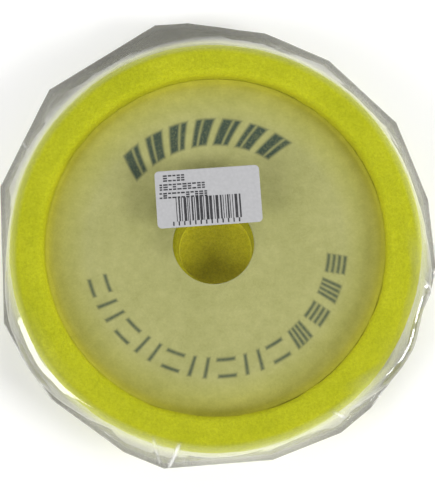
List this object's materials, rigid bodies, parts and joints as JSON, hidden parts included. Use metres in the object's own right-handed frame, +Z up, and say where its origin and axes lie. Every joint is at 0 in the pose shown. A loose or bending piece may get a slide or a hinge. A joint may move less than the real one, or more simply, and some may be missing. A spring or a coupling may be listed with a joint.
{
  "type": "polishing pad",
  "caption": "Round foam polishing pad with a recessed hook-and-loop backing and a blind centring hole, in a clear film wrapper with a paper label.",
  "frame": {"origin": "on the pad's axis, on the underside of the wrapper that it lies on", "axes": "+Z is up along the pad's axis, out through the loop side; +X is to the right and +Y to the top as the label's bars stand upright"},
  "size_m": [0.166, 0.166, 0.0314],
  "materials": {
    "foam": "open-cell polyurethane foam, yellow, matt and finely pored",
    "hot_melt": "hot-melt adhesive, dull and translucent",
    "loop_fabric": "brushed loop fabric, pale grey-green with a short nap",
    "clear_film": "clear shrink film, glossy, creased at its edges",
    "label_paper": "smooth white label paper with plain printed bars"
  },
  "bodies": {
    "back_wrap": {"film_back": "clear_film"},
    "pad": {"foam_pad": "foam", "bond_layer": "hot_melt", "loop_backing": "loop_fabric"},
    "front_wrap": {"film_front": "clear_film", "label": "label_paper"}
  },
  "joints": [
    {"name": "pad_out", "type": "slide", "parent": "back_wrap", "child": "pad", "axis": [0, 0, 1], "range_m": [0, 0.04]},
    {"name": "front_film_off", "type": "slide", "parent": "pad", "child": "front_wrap", "axis": [0, 0, 1], "range_m": [0, 0.07]}
  ]
}
